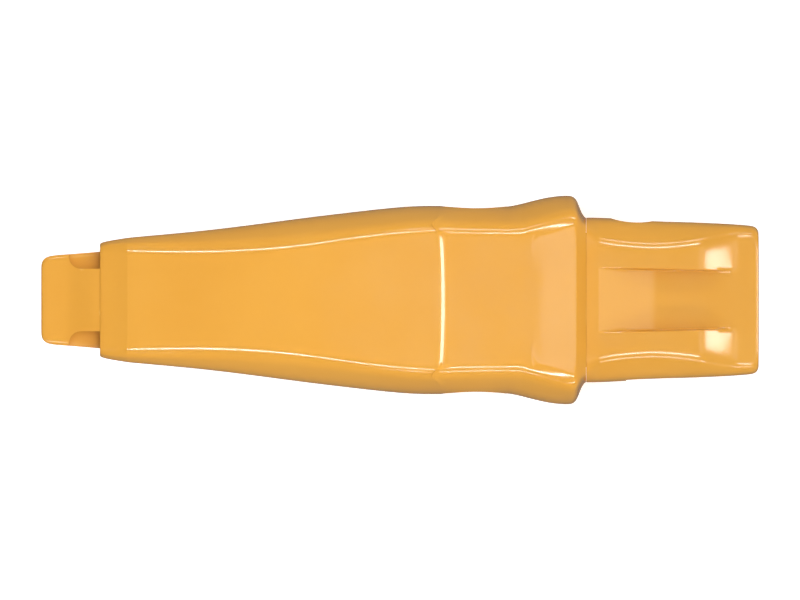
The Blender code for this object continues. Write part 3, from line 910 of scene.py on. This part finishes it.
def make_plug_rubber():
    rubber, _, shader = new_material("sprayed plug rubber", 0.3)
    drift = noise_on_object(rubber, 40.0, 3.0)
    give_colour(rubber, shader, drift, (0.78, 0.350, 0.046), (0.86, 0.405, 0.058))
    give_roughness(rubber, shader, noise_on_object(rubber, 90.0, 4.0), 0.26, 0.40)
    give_relief(rubber, shader, noise_on_object(rubber, 1500.0, 2.0), 0.03 * MM)
    return rubber


lock_steel = make_lock_steel()
spring_steel = make_spring_steel()
elastomer = make_elastomer()
plug_rubber = make_plug_rubber()
print("finishes:", [material.name for material in bpy.data.materials if material.users])

# %% [markdown]
# ## The lock
#
# A lock is a short forged drum. Its inner end is a cup that is open to one side, so that half a turn hooks
# it behind the post on the nose. Its outer end has a boss with a square drive for a ratchet. We start from
# a cylinder, inset its outer face and pull out the boss, round its edges, and then cut the cup, the cup's
# mouth and the drive. One lock is made, then copied and mirrored for the other side.

# %% Lock
LOCK_LOW, LOCK_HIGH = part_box("lock_left")
LOCK_RADIUS = (LOCK_HIGH.x - LOCK_LOW.x) / 2
LOCK_INNER_Y, LOCK_TOP_Y = LOCK_LOW.y, LOCK_HIGH.y
BOSS_RADIUS, BOSS_HEIGHT = 12.0 * MM, 1.5 * MM
CUP_RADIUS, CUP_CEILING_Y = 7.2 * MM, 37.4 * MM
DRIVE_SIDE, DRIVE_DEPTH = 12.7 * MM, 4.5 * MM
LOCK_EDGE, DRIVE_EDGE = 0.4 * MM, 1.0 * MM
TOOL_CLEAR = 5.0 * MM  # how far the cup's tools run out below it


def inset_end(end_y, steps):
    """Insets the end face at end_y and moves it, once for each (inset, move along Y) step."""
    for width, move in steps:
        cage = bmesh.from_edit_mesh(bpy.context.object.data)
        bpy.ops.mesh.select_mode(type="FACE")
        bpy.ops.mesh.select_all(action="DESELECT")
        for face in cage.faces:
            level = all(abs(point.co.y - end_y) < NEAR for point in face.verts)
            face.select_set(level and len(face.verts) > 4)
        bmesh.update_edit_mesh(bpy.context.object.data)
        bpy.ops.mesh.inset(thickness=width)
        bpy.ops.mesh.extrude_region_move(TRANSFORM_OT_translate={"value": (0.0, move, 0.0)})
        end_y += move


def copy_to_right(piece, name):
    """A second piece with its own mesh, mirrored across the tooth's middle plane."""
    make_active(piece)
    bpy.ops.object.duplicate(linked=False)
    copy = bpy.context.object
    copy.name = name
    copy.data.name = name
    bpy.ops.object.mode_set(mode="EDIT")
    bpy.ops.mesh.select_all(action="SELECT")
    bpy.ops.transform.resize(value=(1.0, -1.0, 1.0), center_override=(0.0, 0.0, 0.0))
    bpy.ops.mesh.normals_make_consistent(inside=False)
    bpy.ops.object.mode_set(mode="OBJECT")
    return copy


flange_y = LOCK_TOP_Y - BOSS_HEIGHT
lock = add_disc("lock_left_forging", LOCK_RADIUS, LOCK_INNER_Y, flange_y, 1)
bpy.ops.object.mode_set(mode="EDIT")
inset_end(flange_y, ((LOCK_RADIUS - BOSS_RADIUS, BOSS_HEIGHT),))
bpy.ops.object.mode_set(mode="OBJECT")
round_edges(lock, LOCK_EDGE)
cup = add_disc("cup_tool", CUP_RADIUS, LOCK_INNER_Y - TOOL_CLEAR, CUP_CEILING_Y, 1)
join_solids(lock, cup, "DIFFERENCE")
mouth = add_block(
    "mouth_tool",
    (LOCK_X - 2 * LOCK_RADIUS, LOCK_INNER_Y - TOOL_CLEAR, -CUP_RADIUS),
    (LOCK_X, CUP_CEILING_Y, CUP_RADIUS),
)
join_solids(lock, mouth, "DIFFERENCE")
half_drive = DRIVE_SIDE / 2
drive = add_block(
    "drive_tool",
    (LOCK_X - half_drive, LOCK_TOP_Y - DRIVE_DEPTH, -half_drive),
    (LOCK_X + half_drive, LOCK_TOP_Y + DRIVE_DEPTH, half_drive),
)
round_edges(drive, DRIVE_EDGE, segments=3)
join_solids(lock, drive, "DIFFERENCE")
print("lock:", len(lock.data.polygons), "faces")

# %% [markdown]
# ## Bush, snap ring and dust plug
#
# The bush is a thick elastomer ring that grips the lock, so that it does not turn by itself. A groove
# round its outside leaves two lips. It could be turned from an outline, but a disc with a bore and a
# groove cut out of it is quicker to read.

# %% Bush
BUSH_LOW, BUSH_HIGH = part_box("detent_bush_left")
BUSH_OUTER = (BUSH_HIGH.x - BUSH_LOW.x) / 2
BUSH_INNER = LOCK_RADIUS + GAP * MM
BUSH_EDGE = 0.3 * MM
LIP = 0.5 * MM

bush = add_disc("bush_left_ring", BUSH_OUTER, BUSH_LOW.y, BUSH_HIGH.y, 1)
bore = add_disc("bore_tool", BUSH_INNER, BUSH_LOW.y - LIP, BUSH_HIGH.y + LIP, 1)
join_solids(bush, bore, "DIFFERENCE")
groove_y = (BUSH_LOW.y + BUSH_HIGH.y) / 2
groove_tool = add_disc("groove_tool", BUSH_OUTER + LIP, groove_y - 2 * LIP, groove_y + 2 * LIP, 1)
core = add_disc("groove_core", BUSH_OUTER - LIP, groove_y - 3 * LIP, groove_y + 3 * LIP, 1)
join_solids(groove_tool, core, "DIFFERENCE")
join_solids(bush, groove_tool, "DIFFERENCE")
round_edges(bush, BUSH_EDGE)
clean_up(bush)
print("bush:", len(bush.data.polygons), "faces")

# %% [markdown]
# The snap ring is a flat ring that is open on one side, with a hole near each end where a pair of pliers
# takes hold. The opening is cut with a block that is pinched together at the ring's centre, so both ends
# point at the centre.

# %% Snap ring
RING_LOW, RING_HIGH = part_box("snap_ring_left")
RING_OUTER = RING_HIGH.z
RING_INNER = 12.5 * MM
RING_HALF_GAP = math.radians(25.0)
RING_MIDDLE = (RING_OUTER + RING_INNER) / 2
RING_EDGE = 0.2 * MM
PINCH = 0.001  # how much height the pinched end of the tool keeps
HOLE_RADIUS, HOLE_SEGMENTS = 1.1 * MM, 32
HOLE_ANGLE = RING_HALF_GAP + math.radians(11.0)

ring = add_disc("snap_ring_left_spring", RING_OUTER, RING_LOW.y, RING_HIGH.y, 1)
bore = add_disc("bore_tool", RING_INNER, RING_LOW.y - LIP, RING_HIGH.y + LIP, 1)
join_solids(ring, bore, "DIFFERENCE")
gap_length = 2 * RING_OUTER
gap_half_width = gap_length * math.tan(RING_HALF_GAP)
gap_tool = add_block(
    "gap_tool",
    (LOCK_X, RING_LOW.y - LIP, -gap_half_width),
    (LOCK_X + gap_length, RING_HIGH.y + LIP, gap_half_width),
)
bpy.ops.object.mode_set(mode="EDIT")
pick_points(lambda p: p.x < LOCK_X + NEAR)
bpy.ops.transform.resize(value=(1.0, 1.0, PINCH), center_override=(LOCK_X, 0.0, 0.0))
bpy.ops.object.mode_set(mode="OBJECT")
join_solids(ring, gap_tool, "DIFFERENCE")
for turn in (HOLE_ANGLE, -HOLE_ANGLE):
    deselect_everything()
    bpy.ops.mesh.primitive_cylinder_add(
        vertices=HOLE_SEGMENTS, radius=HOLE_RADIUS, depth=10 * LIP, rotation=SIDEWAYS,
        location=(LOCK_X + RING_MIDDLE * math.cos(turn), RING_LOW.y, RING_MIDDLE * math.sin(turn)),
    )
    join_solids(ring, name_new_piece("hole_tool"), "DIFFERENCE")
round_edges(ring, RING_EDGE)
clean_up(ring)
print("snap ring:", len(ring.data.polygons), "faces")

# %% [markdown]
# The dust plug is a moulded disc with a rounded rim, a sunk face and a button to pull it by. The rim and
# the sunk face come from two insets of the disc's outer end. The button is a neck with a wider head.

# %% Dust plug
PLUG_LOW, PLUG_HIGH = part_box("dust_plug_left")
PLUG_RADIUS = (PLUG_HIGH.x - PLUG_LOW.x) / 2
RIM_HEIGHT, DISH_DEPTH = 0.6 * MM, 1.6 * MM
RIM_SLOPE, RIM_WIDTH = 0.9 * MM, 2.0 * MM
BUTTON_NECK, BUTTON_HEAD = 3.2 * MM, 4.4 * MM
BUTTON_SINK = 0.2 * MM  # how far the button stays below the rim
PLUG_EDGE, BUTTON_EDGE = 0.35 * MM, 0.3 * MM

shoulder_y = PLUG_HIGH.y - RIM_HEIGHT
plug = add_disc("dust_plug_left_moulding", PLUG_RADIUS, PLUG_LOW.y, shoulder_y, 1)
bpy.ops.object.mode_set(mode="EDIT")
inset_end(shoulder_y, ((RIM_SLOPE, RIM_HEIGHT), (RIM_WIDTH, -DISH_DEPTH)))
bpy.ops.object.mode_set(mode="OBJECT")
round_edges(plug, PLUG_EDGE, segments=3)
dish_y = PLUG_HIGH.y - DISH_DEPTH
neck = add_disc("button_neck", BUTTON_NECK, dish_y - LIP, PLUG_HIGH.y - 2 * LIP, 1)
head = add_disc("button_head", BUTTON_HEAD, PLUG_HIGH.y - 2 * LIP, PLUG_HIGH.y - BUTTON_SINK, 1)
round_edges(head, BUTTON_EDGE, segments=3)
join_solids(plug, neck, "UNION")
join_solids(plug, head, "UNION")
clean_up(plug)
print("dust plug:", len(plug.data.polygons), "faces")

# %% [markdown]
# Each small part is now finished on the left. Its copy for the right wall is mirrored across the tooth's
# middle plane, and its normals are turned outwards again, because a mirror turns a shape inside out.

# %% Both sides
SMALL_PARTS = (
    # left piece, name on the right, body, plain solid, slot, finish
    (lock, "lock_right_forging", "lock", "lock", "lock_steel", lock_steel),
    (bush, "bush_right_ring", "point", "detent_bush", "elastomer", elastomer),
    (ring, "snap_ring_right_spring", "point", "snap_ring", "spring_steel", spring_steel),
    (plug, "dust_plug_right_moulding", "plug", "dust_plug", "plug_rubber", plug_rubber),
)
for left_piece, right_name, body_name, node, slot_name, finish in SMALL_PARTS:
    right_piece = copy_to_right(left_piece, right_name)
    for side_name, piece in (("left", left_piece), ("right", right_piece)):
        rides_on = body_name if body_name == "point" else side_name + "_" + body_name
        hand_over(piece, rides_on, node + "_" + side_name, finish)

# %% [markdown]
# ## Floor, light and camera
#
# The tooth stands on a plain white floor. The floor glows a little by itself, so that it stays white right
# up to the tooth. It is hidden from the paint's gloss and bounce light, which it would turn milky.

# %% Floor
FLOOR_SIZE, FLOOR_GLOW = 6.0, 0.55
FLOOR_WHITE, FLOOR_DULL = 0.9, 0.9

low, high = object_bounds()
middle = (low + high) / 2
deselect_everything()
bpy.ops.mesh.primitive_plane_add(size=FLOOR_SIZE, location=(middle.x, 0.0, low.z))
floor = name_new_piece("floor")
floor_finish = bpy.data.materials.new("white floor")
floor_finish.use_nodes = True
floor_shader = floor_finish.node_tree.nodes["Principled BSDF"]
floor_shader.inputs["Base Color"].default_value = (FLOOR_WHITE, FLOOR_WHITE, FLOOR_WHITE, 1.0)
floor_shader.inputs["Roughness"].default_value = FLOOR_DULL
floor_shader.inputs["Emission Color"].default_value = (1.0, 1.0, 1.0, 1.0)
floor_shader.inputs["Emission Strength"].default_value = FLOOR_GLOW
floor.data.materials.append(floor_finish)
floor.visible_diffuse = False
floor.visible_glossy = False
print("floor at", round(low.z / MM, 1), "mm")

# %% [markdown]
# The sky gives the soft even light. It is bright overhead, dim lower down, and bright again below the
# horizon, as a white floor is. It is brighter on the bucket's side than in front of the tip. In the gloss
# it is dimmed, so that the paint keeps its colour.

# %% Sky
SKY_BELOW = 0.95
# height from nadir to zenith, brightness
SKY_STOPS = ((0.46, 0.92), (0.56, 0.40), (0.75, 0.42), (0.96, 0.84))
SKY_LEAN = 0.5  # how much brighter the sky is towards the bucket than the middle
SKY_MIRRORED = 0.14  # how much of the sky the gloss shows
world = bpy.data.worlds.new("studio")
bpy.context.scene.world = world
world.use_nodes = True
sky_nodes, sky_links = world.node_tree.nodes, world.node_tree.links
sky = sky_nodes["Background"]
sky.inputs["Color"].default_value = (1.0, 1.0, 1.0, 1.0)


def band_of(source, least, low, high):
    """Maps a direction or a switch, from least to 1, on to a band from low to high."""
    band = sky_nodes.new("ShaderNodeMapRange")
    band.inputs["From Min"].default_value = least
    band.inputs["To Min"].default_value = low
    band.inputs["To Max"].default_value = high
    sky_links.new(source, band.inputs["Value"])
    return band.outputs["Result"]


def times(first, second):
    product = sky_nodes.new("ShaderNodeMath")
    product.operation = "MULTIPLY"
    sky_links.new(first, product.inputs[0])
    sky_links.new(second, product.inputs[1])
    return product.outputs["Value"]


direction = sky_nodes.new("ShaderNodeTexCoord")
parts = sky_nodes.new("ShaderNodeSeparateXYZ")
sky_links.new(direction.outputs["Generated"], parts.inputs["Vector"])
fade = sky_nodes.new("ShaderNodeValToRGB")
stops = fade.color_ramp.elements
stops.remove(stops[1])
stops[0].position, stops[0].color = 0.0, (SKY_BELOW, SKY_BELOW, SKY_BELOW, 1.0)
for position, brightness in SKY_STOPS:
    stops.new(position).color = (brightness, brightness, brightness, 1.0)
sky_links.new(band_of(parts.outputs["Z"], -1.0, 0.0, 1.0), fade.inputs["Fac"])
path = sky_nodes.new("ShaderNodeLightPath")
dimmed = times(band_of(path.outputs["Is Glossy Ray"], 0.0, 1.0, SKY_MIRRORED), fade.outputs["Color"])
lean = band_of(parts.outputs["X"], -1.0, 1.0 - SKY_LEAN, 1.0 + SKY_LEAN)
sky_links.new(times(lean, dimmed), sky.inputs["Strength"])
print("sky stops:", len(stops))

# %% [markdown]
# Panels do the rest. Those overhead show in the sloping faces, the window behind the bucket in the
# run-outs of the ribs, and the long thin strips to the sides draw bright lines along the rounded edges.
# A panel's two angles say how far it is tilted from overhead, to the rear and to the left. Some panels
# only show in the gloss and give no light.

# %% Panels
from mathutils import Euler, Vector

SOFTBOX_X = 120.0 * MM  # how far behind the tip the softbox hangs


def add_panel(name, to_rear, to_left, brightness, size, distance=2.0, lights_evenly=True):
    """A soft panel of even brightness that faces the middle of the tooth."""
    turn = Euler((-math.radians(to_left), math.radians(to_rear), 0.0))
    deselect_everything()
    bpy.ops.object.light_add(
        type="AREA", rotation=turn,
        location=Vector((middle.x, 0.0, 0.0)) + turn.to_matrix() @ Vector((0.0, 0.0, distance)),
    )
    panel = bpy.context.object
    panel.name = name
    panel.data.shape = "RECTANGLE"
    panel.data.size, panel.data.size_y = size
    panel.data.energy = brightness * math.pi * size[0] * size[1]
    panel.visible_diffuse = lights_evenly
    return panel


add_panel("front_ceiling_panel", -12, 0, 2.6, (0.15, 1.2), lights_evenly=False)
add_panel("rear_ceiling_panel", 22, 0, 1.9, (0.36, 1.2), lights_evenly=False)
add_panel("rear_window", 42, 0, 18.0, (0.46, 0.6), lights_evenly=False)
add_panel("left_strip", 0, 64, 22.0, (1.2, 0.10))
add_panel("left_upper_strip", -10, 38, 75.0, (1.4, 0.06), lights_evenly=False)
add_panel("right_strip", -14, -38, 80.0, (1.6, 0.07), lights_evenly=False)
add_panel("right_lower_strip", 0, -66, 26.0, (1.2, 0.10))
softbox = add_panel("softbox", 0, 0, 6.4, (0.30, 0.30), distance=0.75)
softbox.location.x = low.x + SOFTBOX_X
softbox.visible_glossy = False

# %% [markdown]
# The camera looks straight down without perspective, so that both ends of the tooth show at the same
# scale.

# %% Camera
VIEW_WIDTH = 0.428  # metres across the frame
CAMERA_HEIGHT = 4.0
camera_data = bpy.data.cameras.new("camera")
camera_data.type = "ORTHO"
camera_data.ortho_scale = VIEW_WIDTH
camera_data.clip_end = 5 * CAMERA_HEIGHT
camera = bpy.data.objects.new("camera", camera_data)
bpy.context.scene.collection.objects.link(camera)
camera.location = (middle.x, 0.0, CAMERA_HEIGHT)
bpy.context.scene.camera = camera
bpy.context.scene.view_settings.view_transform = "Standard"
print("camera", CAMERA_HEIGHT, "m above the middle of the tooth")
